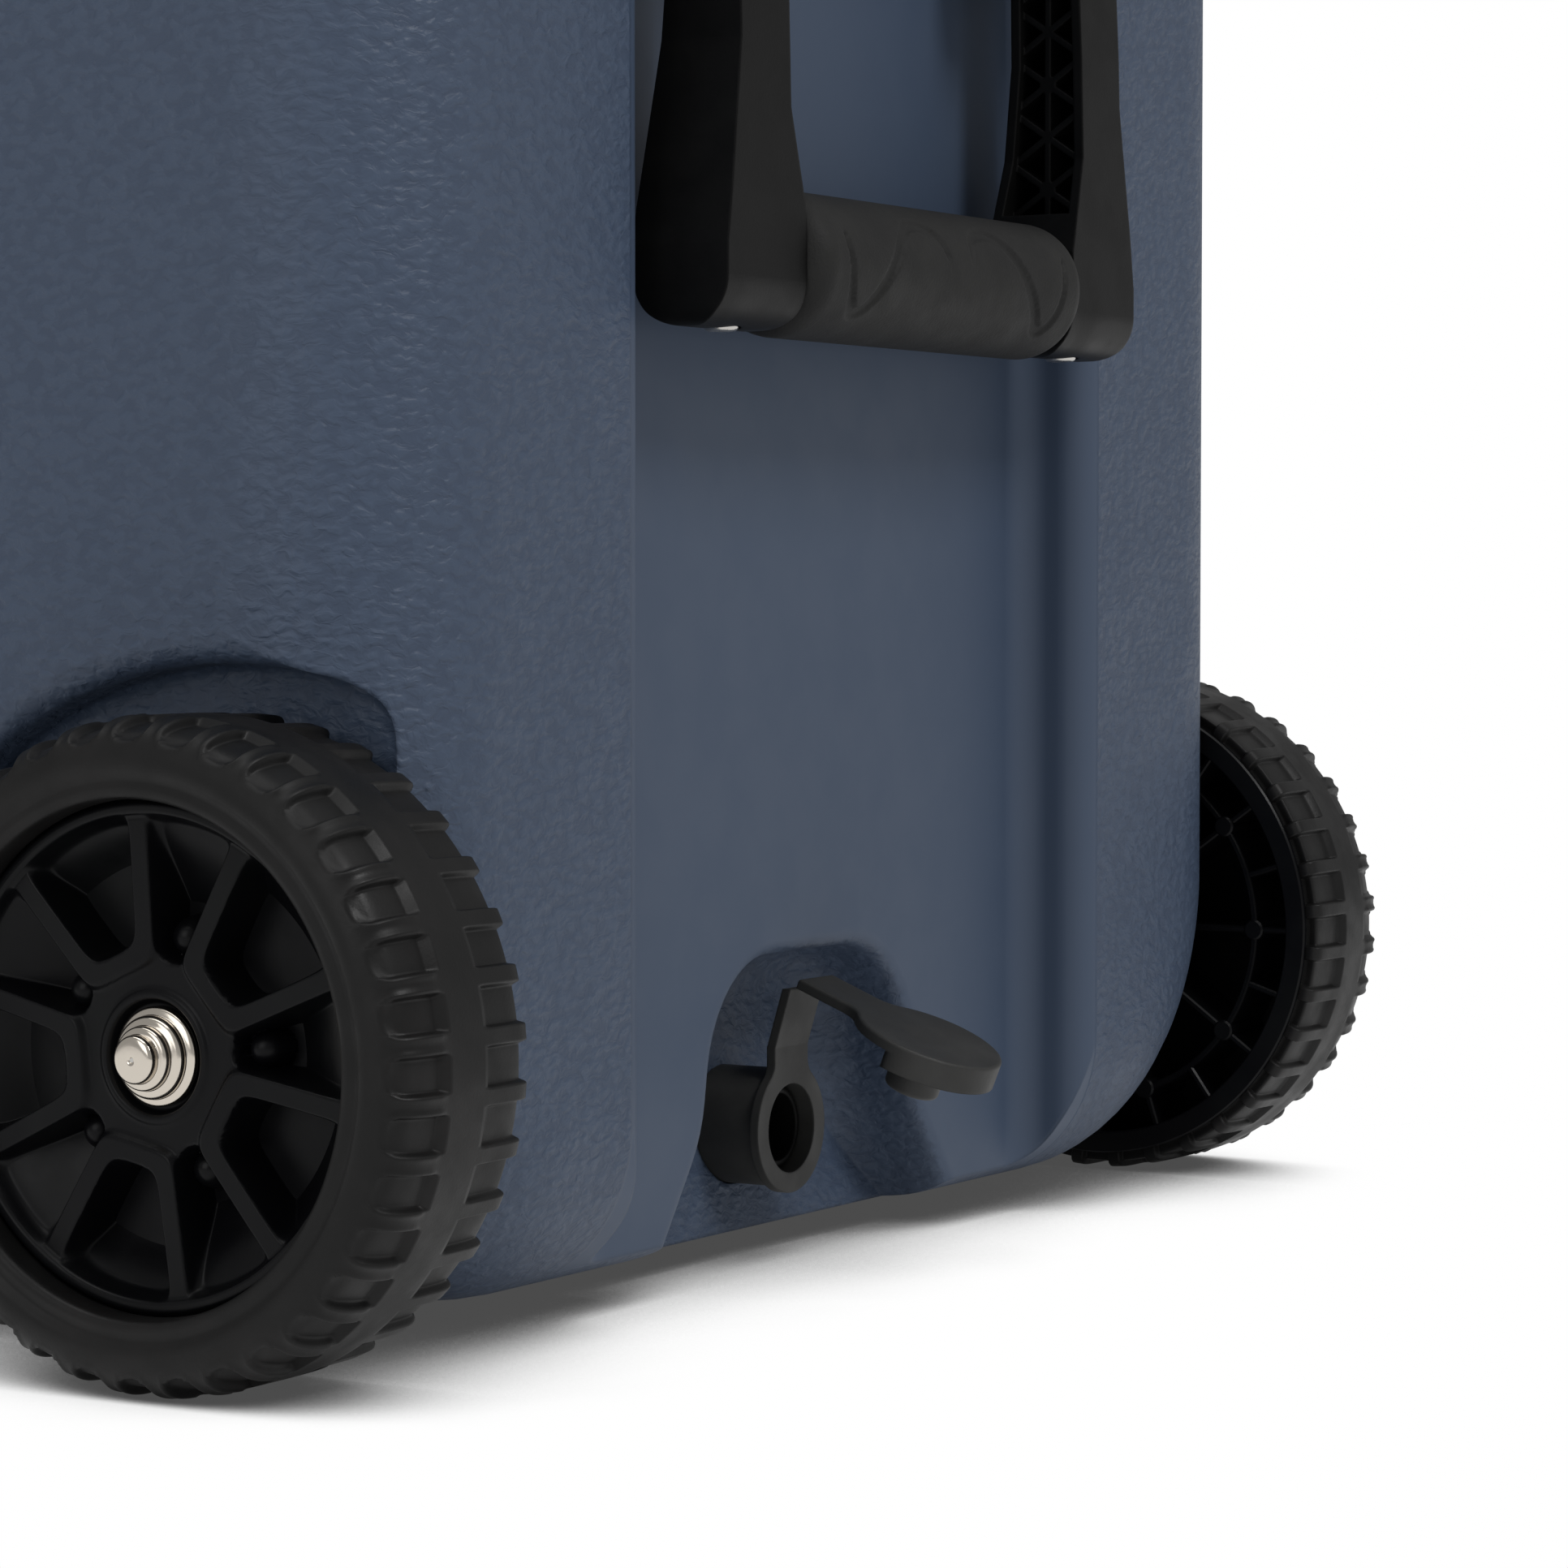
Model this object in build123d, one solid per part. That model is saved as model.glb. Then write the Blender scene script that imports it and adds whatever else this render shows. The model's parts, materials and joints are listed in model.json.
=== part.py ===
from build123d import *
import os
from math import asin, cos, radians, sin, sqrt

# A family cooler on two wheels: an insulated box with a hinged lid, two fixed wheels at one
# end, two rubber feet at the other, a swinging bail handle at each end and a drain at the
# wheel end. Millimetres. +X points to the wheel end, +Y to the hinge side, +Z up. The origin
# is on the ground, under the middle of the whole object.

os.makedirs("parts", exist_ok=True)

# ---- driving dimensions: the box ------------------------------------------------------------
END_X = 346.5            # outer face at the wheel end
TOW_X = -353.5           # outer face at the tow handle's end
HALF_W = 207.0           # half of the box's width
CORNER_R = 40.0          # upright corners
SIDE_R = 80.0            # rounding along the two long bottom edges
BOTTOM_Z = 7.0           # underside of the box
RIM_Z = 385.0            # top of the box, under the lid
RIM_LOW = 361.0          # lower edge of the thicker band around the rim
RIM_STEP = 4.0           # how far that band stands out
SKIN = 4.0               # outer shell thickness
LINER = 3.0              # inner liner thickness
CAVITY_X = (-294.0, 285.0)
CAVITY_HALF_W = 158.0
CAVITY_Z = 60.0
CAVITY_R = 30.0
SUMP_X = 250.0           # the floor drops into a sump from here to the wheel end
SUMP_HALF_W = 22.0
SUMP_Z = 22.0

# ---- recesses in the ends, wheel wells, drain pocket -----------------------------------------
RECESS_DEPTH = 19.5
RECESS_HALF_W = 106.0
RECESS_TOP = 357.0
RECESS_CORNER_R = 11.0
RECESS_EDGE_R = 8.0
BELOW = -40.0            # cutters that are open downwards start here
AXLE_X = 305.0
WELL_Y = 190.0
WELL_EDGE_R = 5.5
ARCH_R = 116.3           # flat arch over each wheel
ARCH_Z = 33.7            # height of its centre
ARCH_LEFT = (-60.0, 30.0)    # it turns down from here, with this radius
ARCH_RIGHT = (22.0, 16.0)
POCKET_X = 300.0         # back wall of the drain pocket
POCKET_TOP = 77.0
POCKET_EDGE_R = 4.0
POCKET_FLOOR_R = 14.0
POCKET_FOOT_X = 307.0    # the back wall comes forward to here at the bottom
POCKET_BEND_Z = 50.0     # and is upright from here up

# ---- wheels ---------------------------------------------------------------------------------
WHEEL_R = 70.0
WHEEL_IN = 193.4         # inner face of the wheel, from the middle plane
WHEEL_W = 46.2
HUB_FACE = 37.2          # front of the hub, from the wheel's inner face
HUB_R = 53.0             # where the hub's front meets the tyre
DRUM_R = 62.0
DRUM_T = 2.6
RIM_LIP_R = 65.2
BORE_R = 5.05
AXLE_R = 5.0
AXLE_OUT = 236.6         # outer tip of each stub axle
AXLE_IN = 122.0
BOSS_R = 13.0            # moulded sleeve that holds the stub axle
RUN_GAP = 0.3

# ---- bail handles, measured outwards from the end face ---------------------------------------
HANDLE_X = 4.5           # plane of the hanging handle
PIVOT_Z = 335.0
END_GRIP_Z = 240.0
TOW_GRIP_Z = 82.0
GRIP_R = 17.0
GRIP_HALF = 66.0
CORE_R = 9.0
ARM_IN = 72.2            # inner side of an arm's blade
ARM_OUT = 93.0
ARM_FOOT_OUT = 100.0
ARM_HALF_W = 12.5        # half of the arm's width at its foot
ARM_TOP_R = 10.0
ARM_WALL = 2.6
RIB_T = 1.6
RIB_PITCH = 13.3
PIN_R = 5.0
EAR_R = 12.0
EAR_INNER = (61.0, 71.5)
EAR_OUTER = (93.8, 97.6)

# ---- lid and hinges ---------------------------------------------------------------------------
LID_Z = 386.0
LID_TOP = 445.0
LID_WALL = 3.5
LID_EDGE_R = 17.0
PLUG_Z = 374.0           # underside of the lid's raised inner panel
PLUG_GAP = 3.0
HINGE_Y = 216.0
HINGE_Z = 385.5
HINGE_X = (-190.0, 190.0)
HINGE_LEN = 90.0
KNUCKLE_R = 4.5
HINGE_PIN_R = 2.5
LEAF_T = 2.5
LEAF_H = 19.0

# ---- drain --------------------------------------------------------------------------------------
DRAIN_Z = 32.7
BARREL_R = 14.6
RING_R = 16.0
MOUTH_R = 11.0
TUBE_BORE_R = 8.4
MOUTH_X = 320.2          # front of the drain's ring
TUBE_X = (280.0, 312.0)
NOSE_X = 316.5           # the tube's thinner nose ends here
NOSE_R = 9.6
FOLD_X = 325.0           # living hinge of the cap
FOLD_Z = 68.5
CAP_DROOP = 22.0         # degrees that the open cap hangs below level
CAP_DISC_R = 18.5
CAP_T = 2.6
CAP_LIP = 4.3            # the cap's rim reaches this far below its hinge
PLUG_R = 6.8
PLUG_END = 12.0          # keeps the hanging plug above a hose pushed into the tube
STRAP_W = 15.6
STRAP_T = 2.4
STRAP_BEND_Z = 53.0      # the strap leans outwards above this

FOOT_X = -285.0
FOOT_Y = 105.0
FOOT_R = 20.0
FOOT_SEAT_Z = 4.0        # the foot screw's head sits up in the foot
SCREW_R = 2.0
SCREW_HEAD_R = 4.0
HOLE_GAP = 0.05


def along_x(outline, x0, x1):
    """A flat outline in Y and Z made solid between two X positions."""
    return extrude(Plane.YZ.offset(x0) * outline, amount=x1 - x0)


def along_y(outline, y0, y1):
    """A flat outline in X and Z made solid between two Y positions."""
    return extrude(Plane.XZ.offset(-y1) * outline, amount=y1 - y0)


def along_z(outline, z0, z1):
    """A flat outline in X and Y made solid between two Z positions."""
    return extrude(Plane.XY.offset(z0) * outline, amount=z1 - z0)


def rod_x(radius, x0, x1, y=0.0, z=0.0):
    return along_x(Pos(y, z) * Circle(radius), x0, x1)


def rod_y(radius, y0, y1, x=0.0, z=0.0):
    return along_y(Pos(x, z) * Circle(radius), y0, y1)


def rod_z(radius, z0, z1, x=0.0, y=0.0):
    return along_z(Pos(x, y) * Circle(radius), z0, z1)


def other_side(shape):
    """The same shape on the other side of the middle plane."""
    return mirror(shape, about=Plane.XZ)


def both_pieces(shape):
    return [shape, other_side(shape)]


def at_wheel_end(shape):
    """Places a shape whose X counts outwards from the end face."""
    return Pos(END_X, 0, 0) * shape


def at_tow_end(shape):
    return Pos(TOW_X, 0, 0) * mirror(shape, about=Plane.YZ)


def write(node, shape):
    export_step(shape, os.path.join("parts", node + ".step"))


def write_group(node, solids):
    """Identical loose pieces, kept as separate solids in one node."""
    export_step(Compound(children=[s for shape in solids for s in shape.solids()]),
                os.path.join("parts", node + ".step"))


def above_ground(edges):
    return [edge for edge in edges if edge.center().Z > 0]


def edges_like(solid, pattern):
    """The edges of a solid that lie where the pattern's edges lie."""
    spots = [edge.center() for edge in pattern]
    return [edge for edge in solid.edges()
            if any((edge.center() - spot).length < 0.01 for spot in spots)]


def soft_pocket(outline, floor, surface, lay, axis, mouth_r, floor_r):
    """A cutter for a pocket with a rounded mouth and a rounded floor edge."""
    overshoot = 30.0
    narrow = lay(outline, floor, surface)
    mouth = narrow.faces().sort_by(axis)[-1].edges()
    wide = lay(offset(outline, mouth_r + 1.0), surface, surface + overshoot)
    cutter = narrow + wide
    cutter = fillet(above_ground(edges_like(cutter, mouth)), mouth_r)
    return fillet(above_ground(cutter.faces().sort_by(axis)[0].edges()), floor_r)


# ---- the box ------------------------------------------------------------------------------------
def footprint(inset):
    """Plan outline of the box, moved inwards."""
    length = END_X - TOW_X - 2 * inset
    middle = (END_X + TOW_X) / 2
    return Pos(middle, 0) * RectangleRounded(length, 2 * (HALF_W - inset), CORNER_R - inset)


def tub(inset, top):
    """The box without its hollows: a trough section, rounded all the way round both ends."""
    low = BOTTOM_Z + inset
    section = Pos(0, (low + top) / 2) * Rectangle(2 * (HALF_W - inset), top - low)
    section = fillet(section.vertices().sort_by(Axis.Y)[:2], SIDE_R - inset)
    block = along_x(section, TOW_X + inset, END_X - inset)
    ends = block.faces().sort_by(Axis.X)
    rounded = [edge for end in (ends[0], ends[-1]) for edge in end.edges()
               if edge.center().Z < top - 1]
    return fillet(rounded, CORNER_R - inset)


def wheel_arch(grow=0.0):
    """Side view of a wheel well: a flat arch that turns down close to the tyre's sides."""
    def turn_down(x, radius):
        """Centre of the arc that continues the arch from x, and the angle where it starts."""
        rise = sqrt(ARCH_R ** 2 - x ** 2)
        inwards = 1 - radius / ARCH_R
        return (AXLE_X + x * inwards, ARCH_Z + rise * inwards), (x / ARCH_R, rise / ARCH_R)

    def on(centre, radius, direction):
        return (centre[0] + radius * direction[0], centre[1] + radius * direction[1])

    def middle_of(a, b):
        total = (a[0] + b[0], a[1] + b[1])
        length = sqrt(total[0] ** 2 + total[1] ** 2)
        return (total[0] / length, total[1] / length)

    top_centre = (AXLE_X, ARCH_Z)
    left, left_way = turn_down(*ARCH_LEFT)
    right, right_way = turn_down(*ARCH_RIGHT)
    left_r, right_r, top_r = ARCH_LEFT[1] + grow, ARCH_RIGHT[1] + grow, ARCH_R + grow
    left_x, right_x = left[0] - left_r, right[0] + right_r
    start, end = on(left, left_r, left_way), on(right, right_r, right_way)
    return make_face([
        Line((left_x, BELOW), (left_x, left[1])),
        ThreePointArc((left_x, left[1]), on(left, left_r, middle_of((-1, 0), left_way)), start),
        ThreePointArc(start, on(top_centre, top_r, middle_of(left_way, right_way)), end),
        ThreePointArc(end, on(right, right_r, middle_of(right_way, (1, 0))),
                      (right_x, right[1])),
        Line((right_x, right[1]), (right_x, BELOW)),
        Line((right_x, BELOW), (left_x, BELOW))])


def recess_outline(grow=0.0):
    height = RECESS_TOP - BELOW
    middle = (RECESS_TOP + BELOW) / 2
    return Pos(0, middle) * RectangleRounded(2 * (RECESS_HALF_W + grow), height + 2 * grow,
                                             RECESS_CORNER_R + grow)


def pocket_outline(grow=0.0):
    """Front view of the drain pocket: an arch that flares towards the ground."""
    flare_y, flare_z = 50.0, 36.0
    foot_y, foot_z = 104.0, BELOW
    shoulder_y = 43.5
    points = [(-foot_y, foot_z), (-flare_y, flare_z), (-shoulder_y, POCKET_TOP),
              (shoulder_y, POCKET_TOP), (flare_y, flare_z), (foot_y, foot_z)]
    face = make_face(Polyline(*points, close=True))
    face = fillet(face.vertices().sort_by(Axis.Y)[-2:], 30.0)
    face = fillet(face.vertices().filter_by_position(Axis.Y, flare_z - 0.1, flare_z + 0.1), 36.0)
    return offset(face, grow) if grow else face


def pocket_apron():
    """What is left standing at the foot of the pocket's back wall, which curves forward."""
    forward, rise = POCKET_FOOT_X - POCKET_X, POCKET_BEND_Z - BOTTOM_Z
    radius = (forward ** 2 + rise ** 2) / (2 * forward)
    centre = (POCKET_X + radius, POCKET_BEND_Z)
    half_turn = 0.5 * asin(rise / radius)
    foot = (POCKET_FOOT_X, BOTTOM_Z)
    middle = (centre[0] - radius * cos(half_turn), centre[1] - radius * sin(half_turn))
    return make_face([Line((POCKET_X - 1, POCKET_BEND_Z), (POCKET_X, POCKET_BEND_Z)),
                      ThreePointArc((POCKET_X, POCKET_BEND_Z), middle, foot),
                      Line(foot, (POCKET_FOOT_X, BELOW)),
                      Line((POCKET_FOOT_X, BELOW), (POCKET_X - 1, BELOW)),
                      Line((POCKET_X - 1, BELOW), (POCKET_X - 1, POCKET_BEND_Z))])


def hollows():
    """Everything cut into the outside of the box."""
    well = soft_pocket(wheel_arch(), WELL_Y, HALF_W, along_y, Axis.Y, WELL_EDGE_R, 4.0)
    recess = soft_pocket(recess_outline(), -RECESS_DEPTH, 0.0, along_x, Axis.X,
                         RECESS_EDGE_R, RECESS_EDGE_R)
    pocket = soft_pocket(pocket_outline(), POCKET_X, END_X - RECESS_DEPTH, along_x, Axis.X,
                         POCKET_EDGE_R, POCKET_FLOOR_R)
    pocket -= along_y(pocket_apron(), -HALF_W, HALF_W)
    return [well, other_side(well), at_wheel_end(recess), at_tow_end(recess), pocket]


def hollow_backs():
    """The same hollows one skin thickness larger, for the inside of the shell."""
    well = along_y(wheel_arch(SKIN), WELL_Y - SKIN, HALF_W)
    recess = along_x(recess_outline(SKIN), -RECESS_DEPTH - SKIN, 0.0)
    pocket = along_x(pocket_outline(SKIN), POCKET_X - SKIN, END_X)
    return [well, other_side(well), at_wheel_end(recess), at_tow_end(recess), pocket]


def foam_space():
    space = tub(SKIN, RIM_Z - LINER)
    for back in hollow_backs():
        space -= back
    for boss in axle_bosses():
        space -= boss
    return space


def cavity_block(grow, top):
    """The storage space with its sump, or the liner's outside when grown."""
    length = CAVITY_X[1] - CAVITY_X[0] + 2 * grow
    middle = (CAVITY_X[0] + CAVITY_X[1]) / 2
    outline = Pos(middle, 0) * RectangleRounded(length, 2 * (CAVITY_HALF_W + grow),
                                                CAVITY_R + grow)
    block = along_z(outline, CAVITY_Z - grow, top)
    block = fillet(block.faces().sort_by(Axis.Z)[0].edges(), 14.0 + grow)
    sump_len = CAVITY_X[1] - SUMP_X + 2 * grow
    sump = Pos((CAVITY_X[1] + SUMP_X) / 2, 0) * Rectangle(sump_len, 2 * (SUMP_HALF_W + grow))
    return block + along_z(sump, SUMP_Z - grow, CAVITY_Z + CAVITY_R)


def axle_bosses():
    boss = rod_y(BOSS_R, AXLE_IN - 4, WELL_Y - SKIN, AXLE_X, WHEEL_R)
    return [boss, other_side(boss)]


def axle_holes():
    hole = rod_y(BORE_R, AXLE_IN, WELL_Y + 1, AXLE_X, WHEEL_R)
    return [hole, other_side(hole)]


def rim_band():
    band = along_z(footprint(-RIM_STEP), RIM_LOW, RIM_Z)
    band = fillet(band.faces().sort_by(Axis.Z)[0].edges(), 3.0)
    return fillet(band.faces().sort_by(Axis.Z)[-1].edges(), 1.5)


def base_shell(space):
    shell = tub(0.0, RIM_Z)
    for hollow in hollows():
        shell -= hollow
    shell += rim_band()
    shell -= space
    shell -= along_z(footprint(SKIN), RIM_Z - LINER - 1.0, RIM_Z + 1.0)
    for boss in axle_bosses():
        shell += boss
    for hole in axle_holes() + shell_screw_holes():
        shell -= hole
    shell -= rod_x(BARREL_R + RUN_GAP, POCKET_X, END_X, 0, DRAIN_Z)
    return shell - rod_x(MOUTH_R + HOLE_GAP, POCKET_X - 2 * SKIN, POCKET_X + 1, 0, DRAIN_Z)


def inner_liner():
    flange = along_z(footprint(SKIN), RIM_Z - LINER, RIM_Z)
    liner = cavity_block(LINER, RIM_Z) + flange - cavity_block(0.0, RIM_Z + 1)
    hole = rod_x(MOUTH_R + HOLE_GAP, TUBE_X[0] - 1, CAVITY_X[1] + 2 * LINER, 0, DRAIN_Z)
    return liner - hole


def base_foam(space):
    foam = space - cavity_block(LINER, RIM_Z)
    return foam - rod_x(MOUTH_R + HOLE_GAP, CAVITY_X[1], POCKET_X, 0, DRAIN_Z)


# ---- wheels: turned shapes about Y, Y = 0 at the wheel's inner face ------------------------------
def turned(points):
    """A closed outline of (radius, distance from the inner face), turned round the axle."""
    return revolve(make_face(Polyline(*points, close=True)), axis=Axis.Y)


def tyre():
    """Rubber tread and outer side wall, crowned across the tread."""
    face_y = WHEEL_W
    inner_side = [(RIM_LIP_R, 1.6), (68.0, 2.4), (69.4, 6.0)]
    crown = [(WHEEL_R, 16.0), (WHEEL_R, 30.0)]
    outer_side = [(69.3, 38.0), (67.4, 43.0), (62.0, face_y), (56.0, 45.8), (HUB_R, 44.2)]
    seat = [(HUB_R, HUB_FACE), (DRUM_R, HUB_FACE - 3.0), (DRUM_R, 1.6)]
    return turned(inner_side + crown + outer_side + seat)


def spoke_window(radius_in, radius_out, half_angle, depth):
    """One fan-shaped pocket in the hub's front, centred on +X."""
    fan = make_face(Polyline((radius_in, -radius_in * sin(radians(half_angle))),
                             (radius_out, -radius_out * sin(radians(half_angle))),
                             (radius_out, radius_out * sin(radians(half_angle))),
                             (radius_in, radius_in * sin(radians(half_angle))), close=True))
    fan = fillet(fan.vertices(), 3.0)
    return along_y(fan, HUB_FACE - depth, HUB_FACE + 1)


def hub():
    """Ribbed plastic wheel body: front plate, drum, centre sleeve and ribs behind."""
    plate_back = HUB_FACE - 14.0
    rib_y = 2.5
    body = turned([(BORE_R, 0.0), (12.5, 0.0), (12.5, plate_back), (DRUM_R - DRUM_T, plate_back),
                   (DRUM_R - DRUM_T, 0.0), (RIM_LIP_R, 0.0), (RIM_LIP_R, 1.6), (DRUM_R, 1.6),
                   (DRUM_R, HUB_FACE - 3.0), (HUB_R, HUB_FACE), (BORE_R, HUB_FACE)])
    body += turned([(47.8, rib_y), (49.6, rib_y), (49.6, plate_back + 1), (47.8, plate_back + 1)])
    for number in range(20):
        start = 11.0 if number % 2 == 0 else 48.5
        end = DRUM_R - 1.0
        rib = Pos((start + end) / 2, 0) * Rectangle(end - start, 1.8)
        rib = along_y(rib, rib_y, plate_back + 1)
        body += Rot(0, 18.0 * number, 0) * rib
    for number in range(5):
        turn = -(42.0 + 72.0 * number)
        body -= Rot(0, turn, 0) * spoke_window(23.0, 48.0, 17.0, 11.0)
        body -= Rot(0, turn + 36.0, 0) * spoke_window(26.0, 48.0, 12.5, 9.0)
    return body - rod_y(11.6, HUB_FACE - 3.4, HUB_FACE + 1)


def place_wheel_part(shape):
    return Pos(AXLE_X, WHEEL_IN, WHEEL_R) * shape


def stub_axle():
    axle = rod_y(AXLE_R, AXLE_IN, AXLE_OUT, AXLE_X, WHEEL_R)
    return chamfer(axle.faces().sort_by(Axis.Y)[-1].edges(), 0.8)


def wheel_spacer():
    ring = rod_y(15.0, WELL_Y, WHEEL_IN - RUN_GAP, AXLE_X, WHEEL_R)
    return ring - rod_y(BORE_R, WELL_Y - 1, WHEEL_IN + 1, AXLE_X, WHEEL_R)


def push_cap():
    """Stepped metal cap that is pushed onto the axle's end and keeps the wheel on."""
    seat = WHEEL_IN + HUB_FACE - 3.4 + RUN_GAP
    cap = rod_y(10.0, seat, seat + 1.6, AXLE_X, WHEEL_R)
    cap += rod_y(8.2, seat + 1.6, seat + 3.0, AXLE_X, WHEEL_R)
    cap += rod_y(6.5, seat + 3.0, seat + 6.4, AXLE_X, WHEEL_R)
    return cap - rod_y(BORE_R, seat - 1, seat + 8, AXLE_X, WHEEL_R)


# ---- bail handles: X counts outwards from the end face -------------------------------------------
def arm_side_view(grip_z):
    """Side view of an arm: a blade that widens into a rounded foot around the grip."""
    foot = grip_z - 16.0
    points = [(HANDLE_X + ARM_TOP_R, PIVOT_Z), (HANDLE_X + 11.5, grip_z + 60),
              (HANDLE_X + ARM_HALF_W, grip_z + 14), (HANDLE_X + ARM_HALF_W, foot),
              (HANDLE_X - ARM_HALF_W, foot), (HANDLE_X - ARM_HALF_W, grip_z + 10),
              (HANDLE_X - 8.6, grip_z + 58), (HANDLE_X - ARM_TOP_R + 1.0, PIVOT_Z)]
    blade = make_face(Polyline(*points, close=True))
    blade = fillet(blade.vertices().sort_by(Axis.Y)[:2], 11.0)
    return blade + Pos(HANDLE_X, PIVOT_Z) * Circle(ARM_TOP_R)


def arm_front_view(grip_z):
    """Front view of an arm: it thickens towards the foot on both faces."""
    top = PIVOT_Z + ARM_TOP_R + 1.0
    foot = grip_z - 16.0
    face = make_face(Polyline((ARM_IN, top), (ARM_IN, grip_z + 34), (GRIP_HALF, grip_z + 10),
                              (GRIP_HALF, foot), (ARM_FOOT_OUT, foot),
                              (ARM_FOOT_OUT, grip_z + 2), (ARM_OUT, grip_z + 48),
                              (ARM_OUT, top), close=True))
    return fillet(face.vertices().sort_by(Axis.Y)[:2], 4.0)


def arm_lattice(grip_z):
    """Cells cut into the arm's inner side, leaving a spine, crossed ribs and round nodes."""
    low, high = grip_z + 20.0, PIVOT_Z - 14.0
    window = Pos(HANDLE_X, (low + high) / 2) * Rectangle(4 * ARM_HALF_W, high - low)
    channel = offset(arm_side_view(grip_z), -ARM_WALL) & window
    ribs = Pos(HANDLE_X + 0.8, (low + high) / 2) * Rectangle(RIB_T, high - low)
    bays = int((high - low) / RIB_PITCH) + 1
    half = 10.0
    slope = 90.0 - 56.4
    for bay in range(bays):
        middle = low + (bay + 0.5) * RIB_PITCH
        for turn in (slope, -slope):
            strut = Rot(0, 0, turn) * Rectangle(4 * half, RIB_T)
            ribs += Pos(HANDLE_X + 0.8, middle) * strut
        if bay % 2 == 0:
            ribs += Pos(HANDLE_X + 0.8, middle) * Circle(2.3)
    cells = along_y(channel, GRIP_HALF - 10, ARM_OUT - 4.0)
    return cells - along_y(ribs, ARM_IN + 2.0, ARM_OUT - 4.0)


def handle_arm(grip_z):
    arm = along_y(arm_side_view(grip_z), GRIP_HALF - 5, ARM_FOOT_OUT + 5)
    arm &= along_x(arm_front_view(grip_z), HANDLE_X - 30, HANDLE_X + 30)
    arm -= arm_lattice(grip_z)
    arm -= rod_y(PIN_R + HOLE_GAP, ARM_IN - 5, ARM_OUT + 5, HANDLE_X, PIVOT_Z)
    arm -= rod_y(CORE_R + HOLE_GAP, GRIP_HALF - 1, ARM_FOOT_OUT - 8, HANDLE_X, grip_z)
    arm -= rod_z(SCREW_R + HOLE_GAP, grip_z - 30, grip_z, HANDLE_X, grip_screw_y())
    return arm - rod_z(SCREW_HEAD_R + 0.6, grip_z - 30, grip_z - 14, HANDLE_X, grip_screw_y())


def grip_screw_y():
    return GRIP_HALF + 17.0


def grip_core(grip_z):
    """Plastic tube that ties the two arms together inside the grip."""
    reach = ARM_FOOT_OUT - 9.0
    core = rod_y(CORE_R, -reach, reach, HANDLE_X, grip_z)
    core -= rod_y(5.0, -GRIP_HALF + 4, GRIP_HALF - 4, HANDLE_X, grip_z)
    hole = rod_z(SCREW_R + HOLE_GAP, grip_z - 20, grip_z, HANDLE_X, grip_screw_y())
    return core - hole - other_side(hole)


def grip_sleeve(grip_z):
    sleeve = rod_y(GRIP_R, -GRIP_HALF, GRIP_HALF, HANDLE_X, grip_z)
    ends = sleeve.faces().sort_by(Axis.Y)
    sleeve = fillet(ends[0].edges() + ends[-1].edges(), 2.5)
    return sleeve - rod_y(CORE_R, -GRIP_HALF - 1, GRIP_HALF + 1, HANDLE_X, grip_z)


def grip_screw(grip_z):
    head_z = grip_z - 16.6
    screw = rod_z(SCREW_HEAD_R, head_z, head_z + 2.6, HANDLE_X, grip_screw_y())
    screw = fillet(screw.faces().sort_by(Axis.Z)[0].edges(), 1.2)
    return screw + rod_z(SCREW_R, head_z + 2.6, grip_z - 1, HANDLE_X, grip_screw_y())


def handle_bracket():
    """Clevis on the recess floor: a plate with an ear on each side of the arm."""
    floor = -RECESS_DEPTH
    plate_t = 4.0
    plate = Pos((EAR_INNER[0] + EAR_OUTER[1]) / 2, PIVOT_Z)
    plate = along_x(plate * RectangleRounded(EAR_OUTER[1] - EAR_INNER[0], 27, 3), floor,
                    floor + plate_t)
    reach = HANDLE_X - floor
    ear = Pos(floor + reach / 2, PIVOT_Z) * Rectangle(reach, 2 * EAR_R)
    ear += Pos(HANDLE_X, PIVOT_Z) * Circle(EAR_R)
    bracket = plate + along_y(ear, *EAR_INNER) + along_y(ear, *EAR_OUTER)
    bracket -= rod_y(PIN_R + HOLE_GAP, EAR_INNER[0] - 1, EAR_OUTER[1] + 1, HANDLE_X, PIVOT_Z)
    for y, z in bracket_screw_spots():
        bracket -= rod_x(SCREW_R + HOLE_GAP, floor - 1, floor + plate_t + 1, y, z)
    return bracket


def bracket_screw_spots():
    middle = (ARM_IN + ARM_OUT) / 2
    return [(middle, PIVOT_Z - 9.0), (middle, PIVOT_Z + 9.0)]


def bracket_screw(y, z):
    plate_front = -RECESS_DEPTH + 4.0
    screw = rod_x(SCREW_HEAD_R, plate_front, plate_front + 2.4, y, z)
    screw = fillet(screw.faces().sort_by(Axis.X)[-1].edges(), 1.2)
    return screw + rod_x(SCREW_R, -RECESS_DEPTH - 3.6, plate_front, y, z)


def pivot_pin():
    head = rod_y(8.0, EAR_INNER[0] - 2.6, EAR_INNER[0], HANDLE_X, PIVOT_Z)
    head = fillet(head.faces().sort_by(Axis.Y)[0].edges(), 1.4)
    return head + rod_y(PIN_R, EAR_INNER[0], EAR_OUTER[1] - 0.4, HANDLE_X, PIVOT_Z)


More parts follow.
